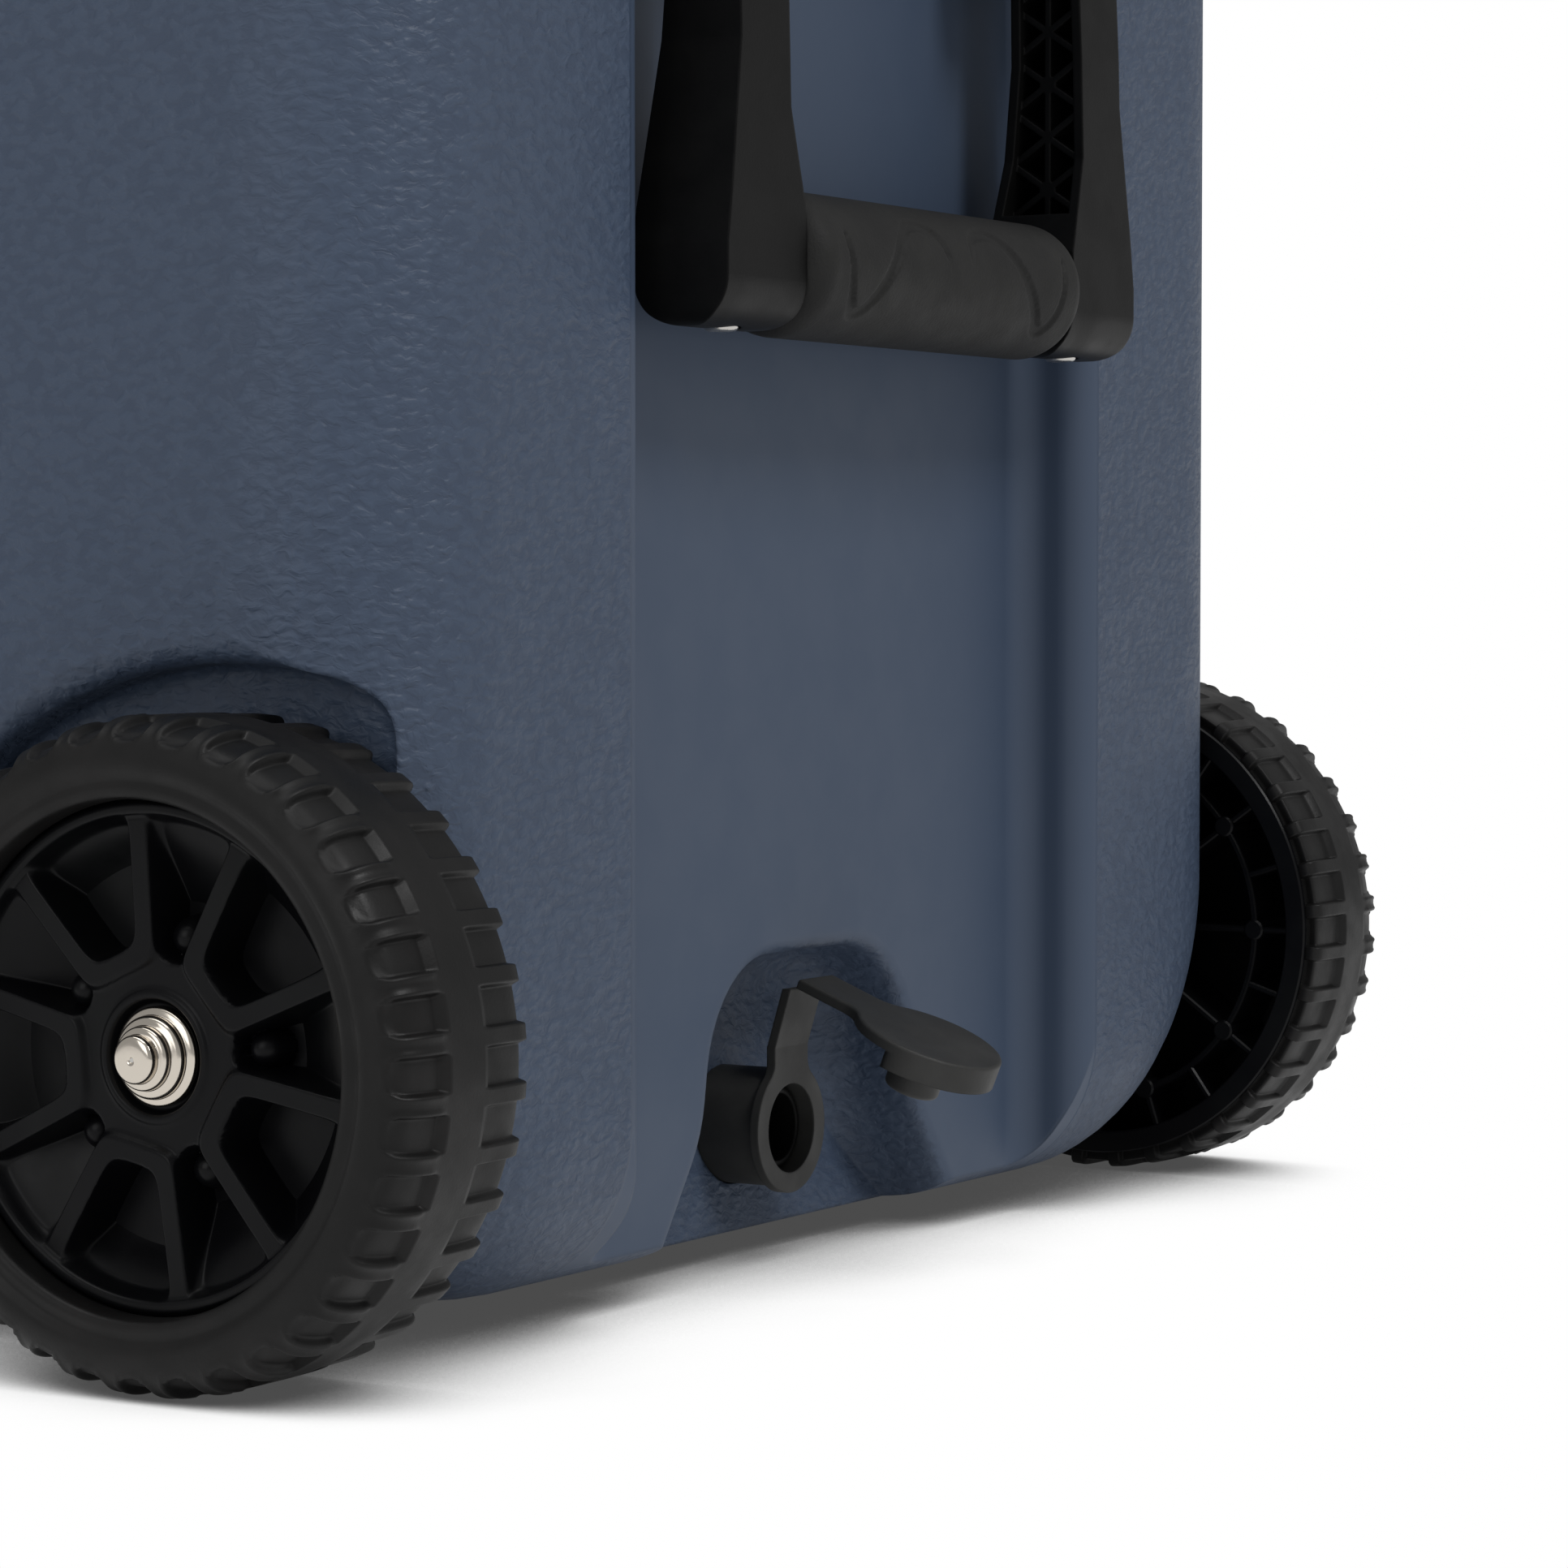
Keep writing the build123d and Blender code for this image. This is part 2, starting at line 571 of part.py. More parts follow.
def write_handle(name, grip_z, place):
    """One complete bail handle with its brackets, pins and screws."""
    arm = handle_arm(grip_z)
    write(name + "_left_arm", place(other_side(arm)))
    write(name + "_right_arm", place(arm))
    write(name + "_grip_core", place(grip_core(grip_z)))
    write(name + "_grip", place(grip_sleeve(grip_z)))
    screw = grip_screw(grip_z)
    write_group(name + "_grip_screws", [place(screw), place(other_side(screw))])
    bracket = handle_bracket()
    write(name + "_left_bracket", place(other_side(bracket)))
    write(name + "_right_bracket", place(bracket))
    pin = pivot_pin()
    write_group(name + "_pivot_pins", [place(pin), place(other_side(pin))])
    screws = [bracket_screw(y, z) for y, z in bracket_screw_spots()]
    screws += [other_side(screw) for screw in screws]
    write_group(name + "_bracket_screws", [place(screw) for screw in screws])


# ---- lid ------------------------------------------------------------------------------------------
def lid_block(inset, z0, z1):
    return along_z(footprint(inset - RIM_STEP), z0, z1)


def lid_shell():
    """Outer lid moulding with a sunk top panel and a pull lip at the front."""
    block = lid_block(0.0, LID_Z, LID_TOP)
    block = fillet(block.faces().sort_by(Axis.Z)[-1].edges(), LID_EDGE_R)
    sunk = lid_block(30.0, LID_TOP - 3.0, LID_TOP + 1.0)
    sunk = fillet(sunk.faces().sort_by(Axis.Z)[0].edges(), 2.0)
    lip = Pos(0, -HALF_W - RIM_STEP) * RectangleRounded(150, 18, 8)
    lip = along_z(lip, LID_Z, LID_Z + 9)
    lip = fillet(lip.faces().sort_by(Axis.Z)[-1].edges(), 3.0)
    shell = block - sunk + lip - lid_space()
    for hole in hinge_screw_holes(1):
        shell -= hole
    return shell


def lid_space():
    """Inside of the lid's outer moulding, open below."""
    inside = lid_block(LID_WALL, LID_Z, LID_TOP - 3.0 - LID_WALL)
    return fillet(inside.faces().sort_by(Axis.Z)[-1].edges(), LID_EDGE_R - 4.0)


def plug_outline(inset):
    length = CAVITY_X[1] - CAVITY_X[0] - 2 * (PLUG_GAP + inset)
    middle = (CAVITY_X[0] + CAVITY_X[1]) / 2
    return Pos(middle, 0) * RectangleRounded(length, 2 * (CAVITY_HALF_W - PLUG_GAP - inset),
                                             CAVITY_R - PLUG_GAP - inset)


def gasket_ring(z0, z1, half_width):
    """A flat ring that runs round the storage space, on the liner's flange."""
    middle = -10.0
    outer = plug_outline(middle - half_width)
    inner = plug_outline(middle + half_width)
    return along_z(outer, z0, z1) - along_z(inner, z0 - 1, z1 + 1)


def lid_liner():
    plate_top = LID_Z + 5.0
    plate = lid_block(LID_WALL, LID_Z, plate_top)
    plug = along_z(plug_outline(0.0), PLUG_Z, LID_Z)
    plug = fillet(plug.faces().sort_by(Axis.Z)[0].edges(), 5.0)
    liner = plate + plug - along_z(plug_outline(LINER), PLUG_Z + LINER, plate_top + 1)
    return liner - gasket_ring(LID_Z - 1, LID_Z + 2.4, 5.0)


def lid_foam():
    foam = lid_space() - lid_block(-2.0, LID_Z - 1, LID_Z + 5.0)
    return foam + along_z(plug_outline(LINER), PLUG_Z + LINER, LID_Z + 5.0)


# ---- hinges -----------------------------------------------------------------------------------------
def hinge_leaf(middle, side):
    """side +1 is the leaf on the lid, -1 the leaf on the box; knuckles interleave."""
    wall_y = HALF_W + RIM_STEP
    near, far = KNUCKLE_R + 0.8, KNUCKLE_R + 0.8 + LEAF_H
    z0, z1 = sorted((HINGE_Z + side * near, HINGE_Z + side * far))
    plate = Pos(middle, (z0 + z1) / 2) * RectangleRounded(HINGE_LEN, LEAF_H, 3.0)
    leaf = along_y(plate, wall_y, wall_y + LEAF_T)
    for x0, x1 in knuckle_spans(middle, side):
        web_z = sorted((HINGE_Z, HINGE_Z + side * (near + 2)))
        web = Pos((x0 + x1) / 2, sum(web_z) / 2) * Rectangle(x1 - x0, web_z[1] - web_z[0])
        leaf += along_y(web, wall_y + 0.15, wall_y + LEAF_T)
        leaf += rod_x(KNUCKLE_R, x0, x1, HINGE_Y, HINGE_Z)
    leaf -= rod_x(HINGE_PIN_R + HOLE_GAP, middle - HINGE_LEN, middle + HINGE_LEN,
                  HINGE_Y, HINGE_Z)
    for x, z in hinge_screw_spots(middle, side):
        leaf -= rod_y(SCREW_R + HOLE_GAP, wall_y - 1, wall_y + LEAF_T + 1, x, z)
    return leaf


def knuckle_spans(middle, side):
    """The box leaf has the two outer knuckles, the lid leaf the one between them."""
    third = HINGE_LEN / 6
    gap = 0.4
    if side > 0:
        return [(middle - third + gap, middle + third - gap)]
    end = HINGE_LEN / 2
    return [(middle - end, middle - third), (middle + third, middle + end)]


def hinge_screw_spots(middle, side):
    z = HINGE_Z + side * (KNUCKLE_R + 0.8 + 0.6 * LEAF_H)
    return [(middle - 30.0, z), (middle + 30.0, z)]


def hinge_screw_holes(side):
    wall_y = HALF_W + RIM_STEP
    return [rod_y(SCREW_R + HOLE_GAP, wall_y - 3.2, wall_y + 1, x, z)
            for middle in HINGE_X for x, z in hinge_screw_spots(middle, side)]


def hinge_screws(side):
    face_y = HALF_W + RIM_STEP + LEAF_T
    screws = []
    for middle in HINGE_X:
        for x, z in hinge_screw_spots(middle, side):
            head = rod_y(SCREW_HEAD_R, face_y, face_y + 2.0, x, z)
            head = fillet(head.faces().sort_by(Axis.Y)[-1].edges(), 1.2)
            screws.append(head + rod_y(SCREW_R, face_y - LEAF_T - 3.0, face_y, x, z))
    return screws


def hinge_pins():
    half = HINGE_LEN / 2 + 0.8
    return [rod_x(HINGE_PIN_R, middle - half, middle + half, HINGE_Y, HINGE_Z)
            for middle in HINGE_X]


# ---- drain ------------------------------------------------------------------------------------------
def drain_tube():
    tube = rod_x(MOUTH_R, *TUBE_X, 0, DRAIN_Z) + rod_x(NOSE_R, TUBE_X[0], NOSE_X, 0, DRAIN_Z)
    return tube - rod_x(TUBE_BORE_R, TUBE_X[0] - 1, NOSE_X + 1, 0, DRAIN_Z)


def drain_boot():
    """Rubber sleeve round the tube. The ring at its mouth runs up into a strap for the cap."""
    boot = rod_x(BARREL_R, POCKET_X, MOUTH_X - 1, 0, DRAIN_Z)
    strap = Pos(0, (DRAIN_Z + STRAP_BEND_Z) / 2) * Rectangle(STRAP_W, STRAP_BEND_Z - DRAIN_Z)
    front = Pos(0, DRAIN_Z) * Circle(RING_R) + strap
    necks = front.vertices().filter_by_position(Axis.Y, DRAIN_Z + 8, STRAP_BEND_Z - 1)
    front = fillet(necks, 5.0)
    boot += along_x(front, MOUTH_X - STRAP_T, MOUTH_X)
    strap_top = FOLD_Z - 0.8
    lean = make_face(Polyline((MOUTH_X - STRAP_T, STRAP_BEND_Z - 1), (MOUTH_X, STRAP_BEND_Z - 1),
                              (MOUTH_X, STRAP_BEND_Z), (FOLD_X - 0.4, strap_top),
                              (FOLD_X - 0.4 - STRAP_T, strap_top),
                              (MOUTH_X - STRAP_T, STRAP_BEND_Z), close=True))
    boot += along_y(lean, -STRAP_W / 2, STRAP_W / 2)
    return boot - rod_x(MOUTH_R, POCKET_X - 1, MOUTH_X + 1, 0, DRAIN_Z)


def drain_cap():
    """Flap with a stub plug below it. Built level from its fold, then tipped to its droop."""
    disc_x = FOLD_Z - DRAIN_Z
    tab = Pos(1.2 + 12.0, 0) * Rectangle(24.0, STRAP_W)
    disc = Pos(disc_x, 0) * Circle(CAP_DISC_R)
    outline = tab + disc
    necks = outline.vertices().filter_by_position(Axis.X, 10.0, 23.0)
    flap = along_z(fillet(necks, 7.0), 0.0, CAP_T)
    flap = fillet(flap.faces().sort_by(Axis.Z)[-1].edges(), 0.8)
    lip = disc - Pos(disc_x - 2.2, 0) * Circle(CAP_DISC_R)
    flap += along_z(lip, -CAP_LIP, 0.5)
    plug = rod_z(PLUG_R, -PLUG_END, 0.5, disc_x, 0)
    plug = fillet(plug.faces().sort_by(Axis.Z)[0].edges(), 1.2)
    plug -= rod_z(4.6, -PLUG_END - 1, -4.0, disc_x, 0)
    return Pos(FOLD_X, 0, FOLD_Z) * (Rot(0, CAP_DROOP, 0) * (flap + plug))


# ---- feet -------------------------------------------------------------------------------------------
def foot():
    pad = Pos(FOOT_X, FOOT_Y, 0) * Cylinder(FOOT_R, BOTTOM_Z, align=(Align.CENTER,) * 2
                                            + (Align.MIN,))
    pad = chamfer(pad.faces().sort_by(Axis.Z)[0].edges(), 1.5)
    pad -= rod_z(SCREW_HEAD_R + 1.0, -1, FOOT_SEAT_Z, FOOT_X, FOOT_Y)
    return pad - rod_z(SCREW_R + HOLE_GAP, 0, BOTTOM_Z + 1, FOOT_X, FOOT_Y)


def foot_screw():
    screw = rod_z(SCREW_HEAD_R, FOOT_SEAT_Z - 2.2, FOOT_SEAT_Z, FOOT_X, FOOT_Y)
    screw = fillet(screw.faces().sort_by(Axis.Z)[0].edges(), 1.0)
    return screw + rod_z(SCREW_R, FOOT_SEAT_Z, BOTTOM_Z + 3.0, FOOT_X, FOOT_Y)


def shell_screw_holes():
    """Blind holes in the shell for the foot, bracket and hinge screws."""
    foot_hole = rod_z(SCREW_R + HOLE_GAP, BOTTOM_Z - 1, BOTTOM_Z + 3.2, FOOT_X, FOOT_Y)
    holes = [foot_hole, other_side(foot_hole)]
    for y, z in bracket_screw_spots():
        hole = rod_x(SCREW_R + HOLE_GAP, -RECESS_DEPTH - 3.8, -RECESS_DEPTH + 1, y, z)
        for each in (hole, other_side(hole)):
            holes += [at_wheel_end(each), at_tow_end(each)]
    return holes + hinge_screw_holes(-1)


def write_all():
    space = foam_space()
    write("base_shell", base_shell(space))
    write("base_foam", base_foam(space))
    write("inner_liner", inner_liner())

    write("lid_shell", lid_shell())
    write("lid_foam", lid_foam())
    write("lid_liner", lid_liner())
    write("lid_gasket", gasket_ring(LID_Z - 0.8, LID_Z + 2.4, 4.8))
    write_group("hinge_box_leaves", [hinge_leaf(middle, -1) for middle in HINGE_X])
    write_group("hinge_lid_leaves", [hinge_leaf(middle, 1) for middle in HINGE_X])
    write_group("hinge_pins", hinge_pins())
    write_group("hinge_box_screws", hinge_screws(-1))
    write_group("hinge_lid_screws", hinge_screws(1))

    for kind, shape in (("tyre", tyre()), ("hub", hub())):
        right, left = both_pieces(place_wheel_part(shape))
        write("right_wheel_" + kind, right)
        write("left_wheel_" + kind, left)
    write_group("wheel_axles", both_pieces(stub_axle()))
    write_group("wheel_spacers", both_pieces(wheel_spacer()))
    write_group("wheel_push_caps", both_pieces(push_cap()))

    write_handle("end_handle", END_GRIP_Z, at_wheel_end)
    write_handle("tow_handle", TOW_GRIP_Z, at_tow_end)

    write("drain_tube", drain_tube())
    write("drain_boot", drain_boot())
    write("drain_cap", drain_cap())

    write("left_foot", other_side(foot()))
    write("right_foot", foot())
    write_group("foot_screws", both_pieces(foot_screw()))


write_all()
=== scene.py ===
import json
from math import cos, pi, radians, sin

import bmesh
import bpy
import numpy as np
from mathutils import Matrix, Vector


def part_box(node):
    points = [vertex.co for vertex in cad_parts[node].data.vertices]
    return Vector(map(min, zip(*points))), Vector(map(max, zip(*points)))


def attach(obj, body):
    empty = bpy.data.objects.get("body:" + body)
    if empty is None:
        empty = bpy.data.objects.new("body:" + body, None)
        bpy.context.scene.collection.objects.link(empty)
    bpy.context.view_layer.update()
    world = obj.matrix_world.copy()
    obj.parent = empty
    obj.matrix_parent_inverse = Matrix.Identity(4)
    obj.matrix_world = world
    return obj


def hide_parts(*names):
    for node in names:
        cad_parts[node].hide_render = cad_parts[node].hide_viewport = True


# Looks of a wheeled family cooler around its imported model. Metres, +X to the wheel end, +Y to
# the hinge side, +Z up. Shapes inside functions are worked out in millimetres and scaled once.

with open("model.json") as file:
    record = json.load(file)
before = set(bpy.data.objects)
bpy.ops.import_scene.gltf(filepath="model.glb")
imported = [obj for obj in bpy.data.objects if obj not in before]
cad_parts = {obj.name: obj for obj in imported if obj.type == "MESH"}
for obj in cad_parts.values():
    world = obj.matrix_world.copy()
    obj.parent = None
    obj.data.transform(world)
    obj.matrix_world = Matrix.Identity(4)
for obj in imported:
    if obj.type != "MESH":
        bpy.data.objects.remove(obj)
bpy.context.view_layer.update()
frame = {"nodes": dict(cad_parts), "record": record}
MM = 0.001


# ---- places taken from the frame ---------------------------------------------------------------
tyre_low, tyre_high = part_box("right_wheel_tyre")
AXLE = Vector(((tyre_low.x + tyre_high.x) / 2, 0, (tyre_low.z + tyre_high.z) / 2)) / MM
WHEEL_R = (tyre_high.x - tyre_low.x) / 2 / MM
hub_low, hub_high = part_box("right_wheel_hub")
WHEEL_IN = hub_low.y / MM
HUB_FACE = (hub_high.y - hub_low.y) / MM
shell_low, shell_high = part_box("base_shell")
RIM_STEP = 4.0           # the box's rim stands this far past its end walls
END_X = shell_high.x / MM - RIM_STEP
TOW_X = shell_low.x / MM + RIM_STEP
PANEL_DEPTH = 19.5       # the end panels are sunk this deep
PANEL_EDGE = 114.0       # they are smooth inside this half width
PANEL_TOP = 364.0        # and below this height
SEAT_R = 53.0            # where the tyre's bead sits on the hub
BORE_R = 5.05            # for the axle


# ---- mesh helpers --------------------------------------------------------------------------------
def grid(points, wrap_u=False, wrap_v=False):
    """Quads over an (nu, nv, 3) array of points; a wrapped direction joins its end to its start."""
    nu, nv = points.shape[:2]
    index = np.arange(nu * nv).reshape(nu, nv)
    a = index if wrap_u else index[:-1]
    b = np.roll(index, -1, 0) if wrap_u else index[1:]
    if wrap_v:
        quads = np.stack([a, b, np.roll(b, -1, 1), np.roll(a, -1, 1)], -1)
    else:
        quads = np.stack([a[:, :-1], b[:, :-1], b[:, 1:], a[:, 1:]], -1)
    return points.reshape(-1, 3), quads.reshape(-1, 4)


def joined(parts):
    """Several (vertices, quads) parts as one pair of arrays."""
    starts = np.cumsum([0] + [len(v) for v, _ in parts[:-1]])
    return (np.concatenate([v for v, _ in parts]),
            np.concatenate([q + start for (_, q), start in zip(parts, starts)]))


def make_piece(name, parts, material, body, replaces, sharp):
    """Puts (vertices in mm, quads) parts into one mesh object that rides on a body and stands
    for CAD nodes. Edges that turn by more than sharp degrees stay sharp."""
    verts, quads = joined(parts)
    mesh = bpy.data.meshes.new(name)
    mesh.from_pydata((verts * MM).tolist(), [], quads.tolist())
    mesh.validate()
    merge_and_turn_out(mesh)
    mesh.materials.append(material)
    mesh.shade_smooth()
    mesh.set_sharp_from_angle(angle=radians(sharp))
    piece = bpy.data.objects.new(name, mesh)
    bpy.context.scene.collection.objects.link(piece)
    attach(piece, body)
    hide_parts(*replaces)
    return piece


def merge_and_turn_out(mesh):
    """Merges points that meet and turns every closed part's faces outwards."""
    work = bmesh.new()
    work.from_mesh(mesh)
    bmesh.ops.remove_doubles(work, verts=work.verts, dist=2e-6)
    bmesh.ops.dissolve_degenerate(work, edges=work.edges, dist=1e-6)
    bmesh.ops.recalc_face_normals(work, faces=work.faces)
    work.to_mesh(mesh)
    work.free()


def rounded(points, times=2, closed=True):
    """Corner cutting: each pass replaces a corner by points at a quarter and three quarters."""
    line = np.asarray(points, float)
    for _ in range(times):
        after = np.roll(line, -1, 0)
        cut = np.stack([0.75 * line + 0.25 * after, 0.25 * line + 0.75 * after], 1)
        if closed:
            line = cut.reshape(-1, 2)
        else:
            line = np.concatenate([line[:1], cut[:-1].reshape(-1, 2), line[-1:]])
    return line


def step(x, low, high):
    """Smooth step from 0 at low to 1 at high."""
    t = np.clip((x - low) / (high - low), 0, 1)
    return t * t * (3 - 2 * t)


def wheel_points(radius, angle, across, side):
    """Cylinder coordinates round the axle: across counts from the wheel's inner face outwards."""
    x = AXLE.x + radius * np.cos(angle)
    y = side * (WHEEL_IN + across)
    z = AXLE.z + radius * np.sin(angle)
    return np.stack(np.broadcast_arrays(x, y, z), -1)


def lathe(outline, side, count):
    """A closed outline of (radius, across) turned round the axle."""
    line = np.asarray(outline, float)
    turns = np.linspace(0, 2 * pi, count, endpoint=False)[:, None]
    return grid(wheel_points(line[None, :, 0], turns, line[None, :, 1], side), True, True)


def radial_rib(start, end, turn, thick, low, high, side):
    """A plate along a radius, its free edge rounded: a section carried from start to end."""
    half = thick / 2
    section = np.array([(-half, high), (-half, low + 0.5), (-0.5 * half, low), (0.5 * half, low),
                        (half, low + 0.5), (half, high)])
    along = np.array([start, end])[:, None]
    x = along * cos(turn) - section[None, :, 0] * sin(turn)
    z = along * sin(turn) + section[None, :, 0] * cos(turn)
    y = side * (WHEEL_IN + section[None, :, 1] + 0 * along)
    points = np.stack([AXLE.x + x, y, AXLE.z + z], -1)
    return capped(points)


def capped(points):
    """A tube of closed rings with its two ends drawn in to their middles."""
    first = points[:1].mean(1, keepdims=True) + 0 * points[:1]
    last = points[-1:].mean(1, keepdims=True) + 0 * points[-1:]
    return grid(np.concatenate([first, points, last]), False, True)


def round_boss(at, turn, radius, low, high, side, count=16):
    """A short pin with a bevelled free end: rings of falling radius along the axle's direction."""
    spin = np.linspace(0, 2 * pi, count, endpoint=False)
    rings = [(radius, high), (radius, low + 0.5), (radius - 0.5, low)]
    points = np.stack([np.stack([AXLE.x + at * cos(turn) + r * np.cos(spin),
                                 side * (WHEEL_IN + w) + 0 * spin,
                                 AXLE.z + at * sin(turn) + r * np.sin(spin)], -1)
                       for r, w in rings])
    return capped(points)


def wheel_name(side):
    """Name of the wheel's body: side is 1 towards +Y and -1 towards -Y."""
    return "right_wheel" if side > 0 else "left_wheel"


# ---- tyre ------------------------------------------------------------------------------------------
LUGS = 36
BAND = (16.6, 30.8)      # smooth band round the middle of the tread, across from the inner face
OUTER_ROW = (31.2, 48.2) # measured along the surface, over the shoulder
POCKET_HALF = 3.75       # half the length of a tread pocket round the tyre
POCKET_CORNER = 3.2
TREAD_DEPTH = 1.7
WALL_BLUR = 0.45         # half the width of a pocket's sloping wall
SECTION_SPACING = 1.08


def tyre_profile():
    """A tyre's closed section as (radius, across): inner shoulder, crowned tread, bulged side
    wall with its bead, and the seat on the hub. Corner cutting rounds it."""
    inner = [(62.0, 2.0), (65.3, 1.6), (67.2, 1.0), (69.2, 1.8), (69.75, 5.0), (69.9, 10.0)]
    crown = [(70.0, 16.0), (70.0, 23.0), (70.0, 31.0), (69.85, 35.0), (69.3, 38.6)]
    wall = [(67.9, 42.2), (65.4, 44.6), (62.5, 45.9), (59.6, 46.1), (58.0, 45.4), (57.4, 44.5)]
    bead = [(56.8, 44.5), (56.2, 45.0), (54.4, 45.0), (53.1, 44.2), (53.0, 40.0), (53.0, 36.5)]
    seat = [(58.0, 34.5), (62.0, 33.0)]
    return rounded(np.array(inner + crown + wall + bead + seat), 2)


def resampled(line, spacing):
    """A closed outline with points at an even spacing."""
    loop = np.concatenate([line, line[:1]])
    length = np.concatenate([[0], np.cumsum(np.hypot(*np.diff(loop, axis=0).T))])
    count = int(round(length[-1] / spacing))
    at = np.linspace(0, length[-1], count, endpoint=False)
    return np.stack([np.interp(at, length, loop[:, k]) for k in (0, 1)], 1)


def tyre(name, side):
    """Section turned round the axle. Its points sink along the section's normal by the tread
    depth times a mask, which is one inside each lug's two pockets, one on either side of the
    smooth band. Points crowd at the pockets' walls."""
    line = resampled(tyre_profile(), SECTION_SPACING)
    before, after = np.roll(line, 1, 0), np.roll(line, -1, 0)
    tangent = after - before
    normal = np.stack([tangent[:, 1], -tangent[:, 0]], 1)
    normal /= np.linalg.norm(normal, axis=1, keepdims=True) + 1e-9
    inside = np.array([64.0, 23.0])
    outward = np.sign(np.sum(normal * (line - inside), 1, keepdims=True))
    normal *= np.where(outward == 0, 1, outward)

    edge = np.array([-.5, -.43, -.39, -.37, -.352, -.336, -.32, -.305, -.29, -.27, -.23, -.15])
    pitch = np.concatenate([edge, [0.0], -edge[:0:-1]])
    turns = ((np.arange(LUGS)[:, None] + pitch[None]) * (2 * pi / LUGS)).ravel()
    arc = np.tile(pitch * 2 * pi * WHEEL_R / LUGS, LUGS)[:, None]

    across = line[None, :, 1] + 0.0 * arc
    radius = line[None, :, 0] + 0.0 * arc
    side_run = np.where(across > 30, across + np.maximum(0, WHEEL_R - radius) * 0.8, across)
    # outer row: sharp at the band, round-cornered where it wraps over the shoulder
    box_u = np.abs(arc) - (POCKET_HALF - POCKET_CORNER)
    box_v = side_run - (OUTER_ROW[1] - POCKET_CORNER)
    outer = np.hypot(np.maximum(box_u, 0), np.maximum(box_v, 0)) - POCKET_CORNER
    outer = np.maximum(outer + np.minimum(np.maximum(box_u, box_v), 0), OUTER_ROW[0] - side_run)
    # inner row: runs out through the inner shoulder
    inner = np.maximum(np.abs(arc) - (POCKET_HALF + 0.3), across - BAND[0])
    on_tread = step(radius, 63.5, 64.5)
    mask = step(-outer, -WALL_BLUR, WALL_BLUR) + step(-inner, -WALL_BLUR, WALL_BLUR)
    # a thin raised bead runs round the outer pockets
    bead = 0.35 * np.exp(-((outer - 0.9) / 0.55) ** 2) * (side_run > BAND[1] + 1.5)
    deep = TREAD_DEPTH * (1.0 - 0.35 * step(side_run, 38.0, 47.0))
    sink = (deep * np.clip(mask, 0, 1) - bead) * on_tread
    line_r = radius - sink * normal[None, :, 0]
    line_w = across - sink * normal[None, :, 1]
    points = wheel_points(line_r, turns[:, None], line_w, side)
    return make_piece(name, [grid(points, True, True)], MATERIAL["tyre"], wheel_name(side),
                      [wheel_name(side) + "_tyre"], sharp=65)


# ---- hub ------------------------------------------------------------------------------------------
FRONT_R = 49.3           # pockets and windows end here
LOW_PLANE = 1.5          # the hub's middle lies this far below the pockets' borders
DRUM_R = 59.4            # inside of the drum
RING_R = (47.8, 49.6)    # inner and outer radius of the ring that ties the ribs
CAP_SEAT = 3.1           # the push cap's washer sits this far behind the hub's face


def hub_front_height(radius, angle):
    """Height of the hub's front. Five U-shaped pockets between pairs of spokes, each with a
    raised border round it, and five scooped windows between those pairs. A depth times a mask
    with sloping walls makes each, and a domed boss stands at the inner end of each window."""
    fifth = 2 * pi / 5
    start = radians(42.0)
    near_u = (angle - start + fifth / 2) % fifth - fifth / 2
    near_w = (angle - start) % fifth - fifth / 2
    lean = radians(20.0)

    def region(turn, half_angle, edge, r_in, r_out, corner):
        """Distance past the outline of a wedge, negative inside, with its corners rounded."""
        x, y = radius * np.cos(turn), np.abs(radius * np.sin(turn))
        from_side = y * cos(half_angle) - x * sin(half_angle) + edge
        from_in = r_in - x
        from_out = radius - r_out
        stack = np.stack(np.broadcast_arrays(from_side, from_in, from_out)) / corner
        return corner * np.log(np.exp(np.clip(stack, -40, 40)).sum(0))

    u_edge = region(near_u, lean, 2.9, 23.5, FRONT_R, 1.3)
    w_edge = region(near_w, fifth / 2 - lean, 3.1, 20.5, FRONT_R, 1.0)
    u_depth = 12.6 - 8.6 * step(radius, 34.0, 50.5) ** 1.5
    w_depth = 2.6 + 10.2 * (1 - step(radius, 24.0, 51.0))
    border = step(-u_edge, -6.4, -4.9) * (1 - step(radius, 48.8, 49.6))
    level = HUB_FACE - LOW_PLANE * (1 - border) * (1 - step(radius, 48.0, 49.5))
    floor_u, floor_w = HUB_FACE - u_depth, HUB_FACE - w_depth
    in_u, in_w = step(-u_edge, -1.1, 1.1), step(-w_edge, -0.9, 1.3)
    height = level + in_u * (floor_u - level) + in_w * (np.minimum(floor_w, level) - level)
    boss_at, boss_r = 25.0, 4.4
    boss_x = radius * np.cos(near_w) - boss_at
    boss_y = radius * np.sin(near_w)
    ball = boss_r ** 2 - boss_x ** 2 - boss_y ** 2
    dome = HUB_FACE - 9.5 + np.sqrt(np.maximum(ball, 0)) * 1.4
    height = np.where(ball > 0, np.maximum(height, dome), height)
    rim = 1.3 * step(radius, 49.3, 50.2) * (1 - step(radius, 52.0, 52.9))
    recess = 2.2 * (1 - step(radius, 11.2, 12.0))
    collar = 0.7 * step(radius, 11.6, 12.4) * (1 - step(radius, 13.2, 14.4))
    return height + rim - recess + collar


